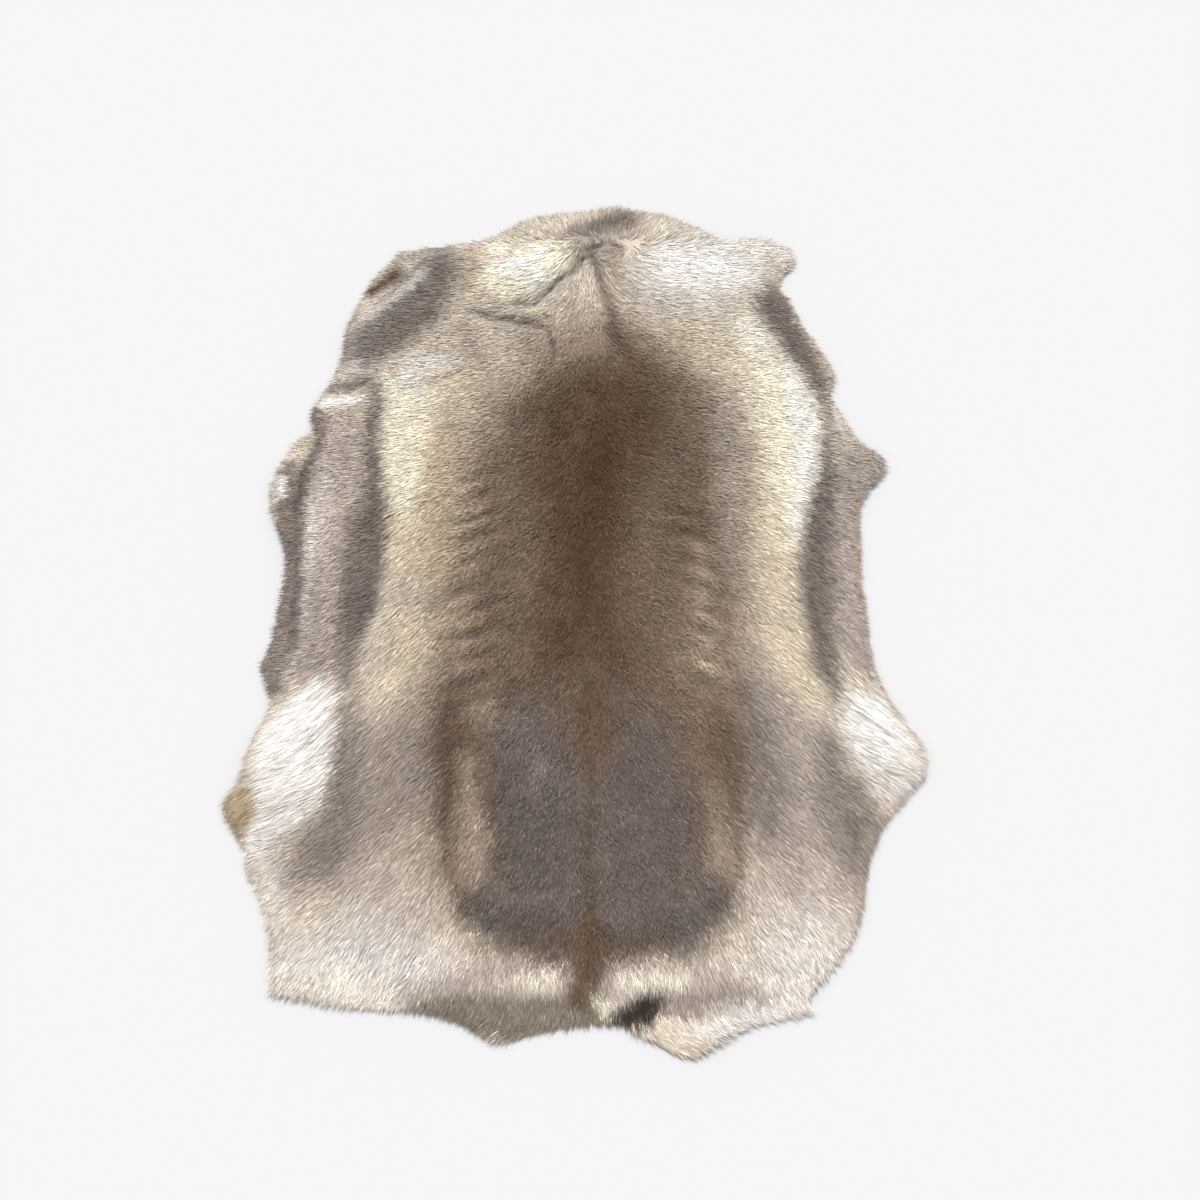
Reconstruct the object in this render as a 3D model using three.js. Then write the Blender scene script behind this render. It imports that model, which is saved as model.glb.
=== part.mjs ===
import * as THREE from 'three';

// A reindeer hide, tanned with its hair on and lying flat, hair side up, as one
// thin closed body: the leather with the depth of hair that lies over it.
// Millimetres. +Y runs along the spine to the neck, +X to the animal's right and
// +Z up. The origin is on the flesh side, under the spine at half the length.

const leather = 2;
const backHair = 17;
const rimHair = 4;
const thinning = 45; // the scale over which the hair deepens inwards from the rim
const flatBelow = 1; // a fold's lift starts here, so all else lies flat

// The body's grid: cells across and along it, the outermost of them narrow, the
// next one in twice as wide, and the rest even over the mean width and length.
const acrossCells = 38;
const alongCells = 60;
const rimCell = 7;
const meanWidth = 830;
const meanLength = 1180;

// How far the margin lies from the spine on each side, from rump to neck.
const sides = [
  { at: 'rump', y: -575, left: 397, right: 296 },
  { at: 'hind leg', y: -500, left: 405, right: 353 },
  { at: 'thigh', y: -420, left: 432, right: 373 },
  { at: 'haunch', y: -340, left: 459, right: 392 },
  { at: 'stifle', y: -260, left: 453, right: 405 },
  { at: 'groin', y: -190, left: 438, right: 404 },
  { at: 'belly', y: -100, left: 439, right: 398 },
  { at: 'waist', y: 0, left: 431, right: 394 },
  { at: 'ribs', y: 100, left: 442, right: 398 },
  { at: 'elbow', y: 190, left: 442, right: 395 },
  { at: 'armpit', y: 270, left: 416, right: 384 },
  { at: 'shoulder', y: 330, left: 387, right: 376 },
  { at: 'withers', y: 420, left: 374, right: 329 },
  { at: 'neck', y: 495, left: 346, right: 309 },
  { at: 'nape', y: 561, left: 300, right: 318 },
];

// How far the two end margins lie from half the length, from left to right.
const ends = [
  { at: 'left corner', x: -400, neck: 561, rump: 572 },
  { at: 'left edge', x: -300, neck: 561, rump: 588 },
  { at: 'left cheek', x: -200, neck: 574, rump: 597 },
  { at: 'left of the nape', x: -155, neck: 583, rump: 607 },
  { at: 'left of the spine', x: -105, neck: 618, rump: 626 },
  { at: 'spine', x: 0, neck: 636, rump: 613 },
  { at: 'right of the spine', x: 115, neck: 632, rump: 632 },
  { at: 'right cheek', x: 200, neck: 592, rump: 616 },
  { at: 'right edge', x: 285, neck: 585, rump: 601 },
  { at: 'right corner', x: 350, neck: 556, rump: 590 },
];

// Flaps and nicks in the margin: how far each reaches out, and its half width.
const nicks = [
  { at: 'tab of the neck', margin: 'right', place: 530, out: 16, wide: 24 },
  { at: 'nick under the tab', margin: 'right', place: 490, out: -16, wide: 16 },
  { at: 'armpit nick', margin: 'right', place: 284, out: -16, wide: 20 },
  { at: 'elbow flap', margin: 'right', place: 165, out: 49, wide: 38 },
  { at: 'haunch flap', margin: 'right', place: -278, out: 57, wide: 70 },
  { at: 'tail corner', margin: 'right', place: -570, out: -8, wide: 14 },
  { at: 'armpit nick', margin: 'left', place: 232, out: -22, wide: 12 },
  { at: 'elbow flap', margin: 'left', place: 112, out: 24, wide: 60 },
  { at: 'flank lobe', margin: 'left', place: -148, out: 16, wide: 22 },
  { at: 'stifle nick', margin: 'left', place: -206, out: -8, wide: 14 },
  { at: 'haunch nick', margin: 'left', place: -302, out: -14, wide: 9 },
  { at: 'bare patch', margin: 'left', place: -344, out: 27, wide: 34 },
  { at: 'thigh nub', margin: 'left', place: -426, out: 11, wide: 16 },
  { at: 'dip beside the neck tab', margin: 'neck', place: 212, out: -13, wide: 16 },
  { at: 'nape tongue', margin: 'neck', place: 35, out: 10, wide: 30 },
  { at: 'nick under the tail', margin: 'rump', place: 42, out: -8, wide: 16 },
  { at: 'hind flap', margin: 'rump', place: 122, out: 22, wide: 44 },
  { at: 'lobe left of the tail', margin: 'rump', place: -112, out: 8, wide: 28 },
];

// Folds and creases along a line from one point to another: lift raises the
// whole hide off the surface, and press only lays the hair down, or below zero
// plumps it up.
const folds = [
  { at: 'belly ridge', from: [-362, 80], to: [-346, -125], wide: 22, lift: 16, press: 0 },
  { at: 'belly groove', from: [-318, 225], to: [-300, -185], wide: 15, lift: 0, press: 4 },
  { at: 'outer belly fold', from: [-424, 165], to: [-410, -60], wide: 17, lift: 12, press: 0 },
  { at: 'left edge roll', from: [-458, 150], to: [-440, 60], wide: 15, lift: 9, press: 0 },
  { at: 'left shoulder fold', from: [-245, 525], to: [-360, 385], wide: 24, lift: 12, press: 0 },
  { at: 'left neck crease', from: [-330, 430], to: [-255, 505], wide: 12, lift: 0, press: 5 },
  { at: 'nape crease', from: [0, 545], to: [-92, 444], wide: 12, lift: 0, press: 7 },
  { at: 'nape roll', from: [-20, 580], to: [-130, 480], wide: 30, lift: 8, press: 0 },
  { at: 'withers crease', from: [-172, 436], to: [-50, 412], wide: 10, lift: 0, press: 6 },
  { at: 'withers crease end', from: [-46, 408], to: [-37, 346], wide: 9, lift: 0, press: 5 },
  { at: 'shoulder parting', from: [-226, 308], to: [-286, 280], wide: 9, lift: 0, press: 5 },
  { at: 'right neck roll', from: [240, 560], to: [120, 590], wide: 26, lift: 7, press: 0 },
  { at: 'right elbow roll', from: [430, 190], to: [385, 110], wide: 18, lift: 8, press: 0 },
  { at: 'right haunch roll', from: [385, -235], to: [440, -290], wide: 20, lift: 10, press: 0 },
  { at: 'right haunch crease', from: [400, -205], to: [450, -250], wide: 10, lift: 0, press: 4 },
  { at: 'left haunch roll', from: [-400, -240], to: [-450, -290], wide: 22, lift: 8, press: 0 },
  { at: 'strip below the tail', from: [-190, -612], to: [210, -612], wide: 22, lift: 0, press: 10 },
  { at: 'hind flap roll', from: [70, -610], to: [190, -632], wide: 18, lift: 7, press: 0 },
  { at: 'left loin', from: [-165, -200], to: [-170, -430], wide: 16, lift: 0, press: 2 },
  { at: 'right loin', from: [188, -200], to: [195, -430], wide: 16, lift: 0, press: 2 },
  { at: 'upper rib furrow', from: [-195, 72], to: [-105, 84], wide: 16, lift: 0, press: 3 },
  { at: 'upper rib swell', from: [-190, 15], to: [-120, 36], wide: 20, lift: 0, press: -2 },
  { at: 'rib furrow', from: [-195, -46], to: [-85, 3], wide: 16, lift: 0, press: 4 },
  { at: 'rib swell', from: [-185, -76], to: [-110, -48], wide: 22, lift: 0, press: -2 },
  { at: 'short rib furrow', from: [-185, -112], to: [-120, -104], wide: 15, lift: 0, press: 2 },
  { at: 'lower rib swell', from: [-190, -146], to: [-115, -122], wide: 20, lift: 0, press: -2 },
  { at: 'lower rib furrow', from: [-195, -186], to: [-95, -146], wide: 16, lift: 0, press: 4 },
  { at: 'loin swell', from: [-160, -218], to: [-125, -205], wide: 18, lift: 0, press: -2 },
  { at: 'right rib furrow', from: [184, -72], to: [190, 8], wide: 16, lift: 0, press: 3 },
  { at: 'right rib swell', from: [150, -165], to: [162, -85], wide: 24, lift: 0, press: -2 },
];

const neckLeft = new THREE.Vector2(-300, 561);
const neckRight = new THREE.Vector2(323, 563);
const rumpLeft = new THREE.Vector2(-396, -575);
const rumpRight = new THREE.Vector2(283, -597);

// A smooth curve through one column of a table.
function through(table, place, column) {
  const places = table.map((row) => row[place]);
  const values = table.map((row) => row[column]);
  const curve = new THREE.CubicInterpolant(places, values, 1);
  return (at) => curve.evaluate(at)[0];
}

// A bell that is 1 in the middle and fades out past its half width.
function bell(distance, wide) {
  return Math.exp(-((distance / wide) ** 2));
}

// The margin's reach at a place along it, with its flaps and nicks.
function marginOf(margin, curve) {
  const own = nicks.filter((nick) => nick.margin === margin);
  return (at) => own.reduce(
    (reach, nick) => reach + nick.out * bell(at - nick.place, nick.wide),
    curve(at),
  );
}

const leftReach = marginOf('left', through(sides, 'y', 'left'));
const rightReach = marginOf('right', through(sides, 'y', 'right'));
const neckReach = marginOf('neck', through(ends, 'x', 'neck'));
const rumpReach = marginOf('rump', through(ends, 'x', 'rump'));

// The four margins, each from its first corner, at 0, to its second, at 1. What
// a margin misses its corners by is spread evenly along it.
function marginCurve(first, last, pointAt) {
  const startGap = first.clone().sub(pointAt(first));
  const endGap = last.clone().sub(pointAt(last));
  return (share) => pointAt(first.clone().lerp(last, share))
    .addScaledVector(startGap, 1 - share)
    .addScaledVector(endGap, share);
}

const leftMargin = marginCurve(rumpLeft, neckLeft, (p) => new THREE.Vector2(-leftReach(p.y), p.y));
const rightMargin = marginCurve(rumpRight, neckRight, (p) => new THREE.Vector2(rightReach(p.y), p.y));
const rumpMargin = marginCurve(rumpLeft, rumpRight, (p) => new THREE.Vector2(p.x, -rumpReach(p.x)));
const neckMargin = marginCurve(neckLeft, neckRight, (p) => new THREE.Vector2(p.x, neckReach(p.x)));

// A point of the hide, blended from its four margins, with u running across it
// and v along it.
function planPoint(u, v) {
  const acrossPart = leftMargin(v).multiplyScalar(1 - u).addScaledVector(rightMargin(v), u);
  const alongPart = rumpMargin(u).multiplyScalar(1 - v).addScaledVector(neckMargin(u), v);
  const cornerPart = new THREE.Vector2()
    .addScaledVector(rumpLeft, (1 - u) * (1 - v))
    .addScaledVector(rumpRight, u * (1 - v))
    .addScaledVector(neckLeft, (1 - u) * v)
    .addScaledVector(neckRight, u * v);
  return acrossPart.add(alongPart).sub(cornerPart);
}

// How far a point lies from a fold's line, with the line's ends rounded off.
function distanceTo(fold, point) {
  const line = new THREE.Line3(
    new THREE.Vector3(...fold.from, 0),
    new THREE.Vector3(...fold.to, 0),
  );
  const flat = new THREE.Vector3(point.x, point.y, 0);
  return line.closestPointToPoint(flat, true, new THREE.Vector3()).distanceTo(flat);
}

// The sum of one column of the folds at a point, each as a soft ridge.
function sumOfFolds(column, point) {
  return folds.reduce(
    (sum, fold) => sum + fold[column] * bell(distanceTo(fold, point), fold.wide),
    0,
  );
}

// The depth of hair: full on the back, thin at the rim, pressed in creases.
function hairDepth(point, inset) {
  const depth = THREE.MathUtils.lerp(backHair, rimHair, Math.exp(-inset / thinning));
  return Math.max(rimHair, depth - sumOfFolds('press', point));
}

// The places, from 0 to 1, of the grid's lines between margins a span apart.
function gridLines(cells, span) {
  const first = rimCell / span;
  const second = first + 2 * first;
  const evenCells = cells - 4;
  const even = Array.from(
    { length: evenCells + 1 },
    (_, i) => THREE.MathUtils.lerp(second, 1 - second, i / evenCells),
  );
  return [0, first, ...even, 1 - first, 1];
}

const acrossLines = gridLines(acrossCells, meanWidth);
const alongLines = gridLines(alongCells, meanLength);

// The points of the lower face and then of the upper one, both on the same grid.
function facePoints() {
  const under = [];
  const over = [];
  for (const v of alongLines) {
    for (const u of acrossLines) {
      const point = planPoint(u, v);
      const inset = Math.min(
        Math.min(u, 1 - u) * meanWidth,
        Math.min(v, 1 - v) * meanLength,
      );
      const lift = Math.max(0, sumOfFolds('lift', point) - flatBelow);
      under.push(point.x, point.y, lift);
      over.push(point.x, point.y, lift + leather + hairDepth(point, inset));
    }
  }
  return under.concat(over);
}

// Both faces and the rim wall between them, all wound to face outwards.
function faceTriangles() {
  const columns = acrossLines.length;
  const rows = alongLines.length;
  const layer = columns * rows;
  const triangles = [];
  const quad = (a, b, c, d) => triangles.push(a, b, c, a, c, d);
  for (let row = 0; row + 1 < rows; row += 1) {
    for (let column = 0; column + 1 < columns; column += 1) {
      const near = row * columns + column;
      const far = near + columns;
      quad(near, far, far + 1, near + 1);
      quad(layer + near, layer + near + 1, layer + far + 1, layer + far);
    }
  }
  const rim = [
    ...Array.from({ length: columns - 1 }, (_, i) => i),
    ...Array.from({ length: rows - 1 }, (_, i) => i * columns + columns - 1),
    ...Array.from({ length: columns - 1 }, (_, i) => layer - 1 - i),
    ...Array.from({ length: rows - 1 }, (_, i) => (rows - 1 - i) * columns),
  ];
  rim.forEach((corner, i) => {
    const next = rim[(i + 1) % rim.length];
    quad(corner, next, layer + next, layer + corner);
  });
  return triangles;
}

const geometry = new THREE.BufferGeometry();
geometry.setAttribute('position', new THREE.Float32BufferAttribute(facePoints(), 3));
geometry.setIndex(faceTriangles());
geometry.computeVertexNormals();

const hide = new THREE.Mesh(
  geometry,
  new THREE.MeshStandardMaterial({ color: 0x8a7867, roughness: 0.9, metalness: 0 }),
);
hide.name = 'hide';

const pelt = new THREE.Group();
pelt.add(hide);

export default pelt;
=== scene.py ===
import math

import bpy
import numpy as np
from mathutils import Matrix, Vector


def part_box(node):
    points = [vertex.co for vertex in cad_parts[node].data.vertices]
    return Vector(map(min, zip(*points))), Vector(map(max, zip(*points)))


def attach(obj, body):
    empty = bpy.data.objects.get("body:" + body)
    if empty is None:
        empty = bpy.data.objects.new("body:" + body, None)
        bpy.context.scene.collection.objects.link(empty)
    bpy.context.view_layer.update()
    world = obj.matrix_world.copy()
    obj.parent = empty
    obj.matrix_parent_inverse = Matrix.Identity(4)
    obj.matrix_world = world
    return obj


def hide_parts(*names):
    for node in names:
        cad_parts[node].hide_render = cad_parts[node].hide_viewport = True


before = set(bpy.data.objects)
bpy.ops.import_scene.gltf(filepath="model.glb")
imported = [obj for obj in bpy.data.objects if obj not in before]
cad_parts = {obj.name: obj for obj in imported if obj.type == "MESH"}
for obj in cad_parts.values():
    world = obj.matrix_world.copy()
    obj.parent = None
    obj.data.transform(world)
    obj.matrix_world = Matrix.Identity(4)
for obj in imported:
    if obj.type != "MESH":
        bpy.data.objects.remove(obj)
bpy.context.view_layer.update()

# ---- The view ---------------------------------------------------------------------------
# The hide is seen by someone who stands at its rump and looks down on its middle.

LOOK_AT = Vector((0.0167, -0.0464, 0.0))
LOOK_DOWN = math.radians(68)
LOOK_FROM = 1.619
LENS_MM = 34.5


def placed(name, data):
    """A new object of this name with this data, in the scene."""
    obj = bpy.data.objects.new(name, data)
    bpy.context.scene.collection.objects.link(obj)
    return obj


look_back = Vector((0.0, -math.cos(LOOK_DOWN), math.sin(LOOK_DOWN)))
camera = placed("camera", bpy.data.cameras.new("camera"))
camera.data.lens = LENS_MM
camera.location = LOOK_AT + LOOK_FROM * look_back
camera.rotation_euler = look_back.to_track_quat("Z", "Y").to_euler()
bpy.context.scene.camera = camera

# ---- The room ---------------------------------------------------------------------------
# A pale floor without an edge, a pale sky all round and one broad soft lamp high up
# beyond the neck, a little to the left.

FLOOR_HALF = 30.0
FLOOR_GREY = (0.385, 0.385, 0.385, 1.0)
SKY_STRENGTH = 0.95
LAMP_STRENGTH = 5.3
LAMP_SPREAD = math.radians(20)
LAMP_FROM = Vector((-0.10, 0.55, 0.95))


def new_material(name, values):
    """A new material and its shader node, with these values on the node's sockets."""
    material = bpy.data.materials.new(name)
    material.use_nodes = True
    shader = material.node_tree.nodes["Principled BSDF"]
    for socket, value in values.items():
        shader.inputs[socket].default_value = value
    return material, shader


floor_mesh = bpy.data.meshes.new("floor")
floor_mesh.from_pydata(
    [(x * FLOOR_HALF, y * FLOOR_HALF, 0.0) for x, y in ((-1, -1), (1, -1), (1, 1), (-1, 1))],
    [],
    [(0, 1, 2, 3)],
)
floor = placed("floor", floor_mesh)

floor_paint, _ = new_material(
    "floor paint", {"Base Color": FLOOR_GREY, "Roughness": 0.9, "Specular IOR Level": 0.0}
)
floor_mesh.materials.append(floor_paint)

sky = bpy.data.worlds.new("sky")
sky.use_nodes = True
background = sky.node_tree.nodes["Background"].inputs
background["Color"].default_value = (1.0, 1.0, 1.0, 1.0)
background["Strength"].default_value = SKY_STRENGTH
bpy.context.scene.world = sky

lamp = placed("lamp", bpy.data.lights.new("lamp", "SUN"))
lamp.data.energy = LAMP_STRENGTH
lamp.data.angle = LAMP_SPREAD
lamp.rotation_euler = LAMP_FROM.to_track_quat("Z", "Y").to_euler()
bpy.context.scene.view_settings.view_transform = "Standard"

# ---- The lie of the hide ----------------------------------------------------------------
# How high the flesh side and the top of the hair lie at each place, and how far in from
# the margin it is, all read off the solid hide and kept on one square net.

# The net's pitch, how far it goes past the hide, how many of its rings past the margin
# carry the heights on, and how often the heights are eased.
NET = 0.004
NET_SPARE = 0.03
RINGS_PAST = 8
EASINGS = 2

# Corners that agree to so many digits are one, a face whose normal's height is less than
# DOWNWARD looks down, and a trimmed net's rim is drawn to its line in so many pulls.
SAME_DIGITS = 5
DOWNWARD = -0.5
RIM_PULLS = 3

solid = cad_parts["hide"]
low_corner, high_corner = (np.array(c, float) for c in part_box("hide"))
net_x = np.arange(low_corner[0] - NET_SPARE, high_corner[0] + NET_SPARE, NET)
net_y = np.arange(low_corner[1] - NET_SPARE, high_corner[1] + NET_SPARE, NET)
net_places = np.stack(np.meshgrid(net_x, net_y), axis=-1)


def dropped_onto_solid(start, downwards):
    """The height at which each place of the net meets the solid hide, moved straight
    down from start, or up, and start itself where it meets nothing."""
    mesh = bpy.data.meshes.new("net")
    points = np.full(net_places.shape[:2] + (3,), start)
    mesh.vertices.add(points.size // 3)
    points[..., :2] = net_places
    mesh.vertices.foreach_set("co", points.ravel())
    net = placed("net", mesh)
    drop = net.modifiers.new("drop", "SHRINKWRAP")
    drop.target = solid
    drop.wrap_method = "PROJECT"
    drop.use_project_z = True
    drop.use_negative_direction = downwards
    drop.use_positive_direction = not downwards
    fallen = net.evaluated_get(bpy.context.evaluated_depsgraph_get()).to_mesh()
    fallen.vertices.foreach_get("co", points.reshape(-1))
    heights = points[..., 2].copy()
    bpy.data.objects.remove(net)
    return heights


def eased(field, times):
    """The field after each place has been set, times over, to the mean of itself and of
    its neighbours along both ways of the net."""
    for _ in range(times):
        for axis in (0, 1):
            field = (np.roll(field, 1, axis) + 2 * field + np.roll(field, -1, axis)) / 4
    return field


def spread_out(field, known, times):
    """The field with its known values carried outwards into the rest, ring by ring:
    each place that has known neighbours takes their weighted mean."""
    field, known = np.where(known, field, 0.0), known.astype(float)
    for _ in range(times):
        sums, weights = eased(field, 1), eased(known, 1)
        fresh = (known == 0) & (weights > 0)
        field = np.where(fresh, sums / np.maximum(weights, 1e-9), field)
        known = np.where(fresh, 1.0, known)
    return field


def margin_lines():
    """The two ends of each straight piece of the margin: the edges that only one of the
    solid's downward faces has."""
    mesh = solid.data
    points = np.empty(len(mesh.vertices) * 3)
    mesh.vertices.foreach_get("co", points)
    normals = np.empty(len(mesh.polygons) * 3)
    mesh.polygons.foreach_get("normal", normals)
    corners = np.empty(len(mesh.loops), int)
    mesh.loops.foreach_get("vertex_index", corners)
    points = points.reshape(-1, 3)
    merged, same = np.unique(np.round(points, SAME_DIGITS), axis=0, return_inverse=True)
    faces = same.ravel()[corners].reshape(-1, 3)
    under = faces[normals.reshape(-1, 3)[:, 2] < DOWNWARD]
    edges = np.sort(under[:, [0, 1, 1, 2, 2, 0]].reshape(-1, 2), axis=1)
    edges, times = np.unique(edges, axis=0, return_counts=True)
    lone = edges[times == 1]
    return merged[lone[:, 0], :2], merged[lone[:, 1], :2]


def distance_to_lines(places, starts, ends):
    """How far each place lies from the nearest of the straight lines: from its own foot
    on each line, held between the line's ends, and the least of these."""
    nearest = np.full(places.shape[:-1], np.inf)
    for start, end in zip(starts, ends):
        along = end - start
        share = np.clip((places - start) @ along / (along @ along), 0.0, 1.0)
        off = places - start - share[..., None] * along
        nearest = np.minimum(nearest, np.hypot(off[..., 0], off[..., 1]))
    return nearest


ABOVE, BELOW = 1.0, -1.0
top_net = dropped_onto_solid(ABOVE, True)
under_net = dropped_onto_solid(BELOW, False)
on_hide = top_net < ABOVE
inset_net = distance_to_lines(net_places, *margin_lines()) * np.where(on_hide, 1.0, -1.0)
top_net = eased(spread_out(top_net, on_hide, RINGS_PAST), EASINGS)
under_net = eased(spread_out(under_net, on_hide, RINGS_PAST), EASINGS)


def blended(field, left, near, across, along):
    """The mean of a field's four values round each place, weighted by how far the place
    lies across and along their square, whose first corner is left and near."""
    below = field[near, left] * (1 - across) + field[near, left + 1] * across
    above = field[near + 1, left] * (1 - across) + field[near + 1, left + 1] * across
    return below * (1 - along) + above * along


def read_net(field, x, y):
    """The net's field at any places, blended between the four nearest net places."""
    column = np.clip((x - net_x[0]) / NET, 0, len(net_x) - 1.001)
    row = np.clip((y - net_y[0]) / NET, 0, len(net_y) - 1.001)
    left, near = column.astype(int), row.astype(int)
    return blended(field, left, near, column - left, row - near)


def trimmed_net(pitch, back):
    """The points and square faces of an even net, cut so that its rim follows the line
    that lies back inside the margin. Each rim point, one with fewer than four faces
    round it, is drawn along the steepest way of the inset onto that line."""
    xs = np.arange(net_x[0], net_x[-1], pitch)
    ys = np.arange(net_y[0], net_y[-1], pitch)
    x, y = (a.ravel() for a in np.meshgrid(xs, ys))
    index = np.arange(len(x)).reshape(len(ys), len(xs))
    faces = np.stack(
        [index[:-1, :-1], index[:-1, 1:], index[1:, 1:], index[1:, :-1]], axis=-1
    ).reshape(-1, 4)
    faces = faces[read_net(inset_net, x[faces].mean(axis=1), y[faces].mean(axis=1)) > back]
    uses = np.bincount(faces.ravel(), minlength=len(x))
    rim = (uses > 0) & (uses < 4)
    for _ in range(RIM_PULLS):
        short = read_net(inset_net, x, y) - back
        slope_x = read_net(inset_net, x + NET, y) - read_net(inset_net, x - NET, y)
        slope_y = read_net(inset_net, x, y + NET) - read_net(inset_net, x, y - NET)
        steep = np.maximum(np.hypot(slope_x, slope_y), 1e-6)
        x = np.where(rim, x - short * slope_x / steep, x)
        y = np.where(rim, y - short * slope_y / steep, y)
    used = uses > 0
    renumbered = np.cumsum(used) - 1
    return x[used], y[used], renumbered[faces], rim[used]


def mesh_object(name, points, faces):
    """An object at the origin whose smooth mesh has these points and faces, each face a
    row of as many corners as the array is wide."""
    mesh = bpy.data.meshes.new(name)
    mesh.vertices.add(len(points))
    mesh.vertices.foreach_set("co", np.ascontiguousarray(points, np.float32).ravel())
    mesh.loops.add(faces.size)
    mesh.loops.foreach_set("vertex_index", np.ascontiguousarray(faces, np.int32).ravel())
    mesh.polygons.add(len(faces))
    mesh.polygons.foreach_set("loop_start", np.arange(0, faces.size, faces.shape[1], dtype=np.int32))
    mesh.polygons.foreach_set("use_smooth", np.ones(len(faces), bool))
    mesh.update(calc_edges=True)
    mesh.validate()
    return placed(name, mesh)


# ---- The leather ------------------------------------------------------------------------
# The tanned skin itself, 2 mm of soft off-white leather, trimmed a little inside the
# reach of the hair. Its flesh side is buffed to a suede nap.

LEATHER = 0.002
LEATHER_PITCH = 0.010
LEATHER_BACK = 0.008
FLESH_WHITE = (0.78, 0.70, 0.58, 1.0)
FLESH_TAN = (0.58, 0.46, 0.33, 1.0)


def new_node(material, kind, values):
    """A node of this kind in the material, with these values on its input sockets."""
    node = material.node_tree.nodes.new("ShaderNode" + kind)
    for socket, value in values.items():
        node.inputs[socket].default_value = value
    return node


def join(material, *wires):
    """Links the material's nodes: each wire is a node, its output, the next node and
    that node's input."""
    for node, output, following, socket in wires:
        material.node_tree.links.new(node.outputs[output], following.inputs[socket])


leather_x, leather_y, leather_faces, _ = trimmed_net(LEATHER_PITCH, LEATHER_BACK)
leather = mesh_object(
    "leather",
    np.column_stack([leather_x, leather_y, read_net(under_net, leather_x, leather_y)]),
    leather_faces,
)
thickness = leather.modifiers.new("thickness", "SOLIDIFY")
thickness.thickness = LEATHER
thickness.offset = 1.0

suede, suede_shader = new_material("suede", {"Specular IOR Level": 0.2, "Sheen Weight": 0.3})
place = new_node(suede, "TexCoord", {})
stain = new_node(suede, "TexNoise", {"Scale": 9.0, "Detail": 6.0, "Roughness": 0.65})
stain_colour = new_node(suede, "ValToRGB", {})
stain_ends = stain_colour.color_ramp.elements
stain_ends[0].position, stain_ends[0].color = 0.30, FLESH_TAN
stain_ends[1].position, stain_ends[1].color = 0.62, FLESH_WHITE
nap = new_node(suede, "TexNoise", {"Scale": 700.0, "Detail": 4.0})
nap_bump = new_node(suede, "Bump", {"Strength": 0.5, "Distance": 0.0006})
nap_roughness = new_node(suede, "MapRange", {"To Min": 0.75, "To Max": 0.98})
join(
    suede,
    (place, "Object", stain, "Vector"),
    (place, "Object", nap, "Vector"),
    (stain, "Fac", stain_colour, "Fac"),
    (stain_colour, "Color", suede_shader, "Base Color"),
    (nap, "Fac", nap_bump, "Height"),
    (nap_bump, "Normal", suede_shader, "Normal"),
    (nap, "Fac", nap_roughness, "Value"),
    (nap_roughness, "Result", suede_shader, "Roughness"),
)
leather.data.materials.append(suede)

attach(leather, "root")
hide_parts("hide")

# ---- The markings of the coat -----------------------------------------------------------
# The coat's colours as they grew: a brown back that greys into a saddle over the loins,
# cream bands down the shoulders, dark flank stripes, and a white neck and haunches. Some
# strokes are painted light rather than colour: painted shade in the creases, dips and the
# belly groove, and painted highlights on the nape rim, belly ridge, shoulder and ribs.

# The colours of the hair, as red, green and blue of 0 to 255.
WHITE = (240, 236, 230)
PINK_WHITE = (232, 225, 217)
CREAM = (239, 229, 208)
STRAW = (229, 222, 200)
GOLD = (218, 202, 176)
HONEY = (190, 172, 144)
OCHRE = (165, 145, 115)
SAND = (203, 189, 172)
PALE_ROSE = (217, 208, 200)
MOUSE = (124, 113, 99)
ROSE = (186, 170, 159)
DUSK = (170, 156, 146)
FAWN = (174, 156, 137)
DRAB = (163, 149, 135)
TAUPE = (148, 134, 125)
DOVE = (150, 140, 133)
SMOKE = (134, 121, 112)
SLATE = (110, 98, 91)
LILAC_GREY = (106, 95, 90)
BROWN = (127, 109, 92)
HUSK = (114, 97, 83)
UMBER = (97, 80, 66)
DARK_BROWN = (97, 77, 60)
COCOA = (80, 60, 45)
BLACK_BROWN = (50, 41, 35)

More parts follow.
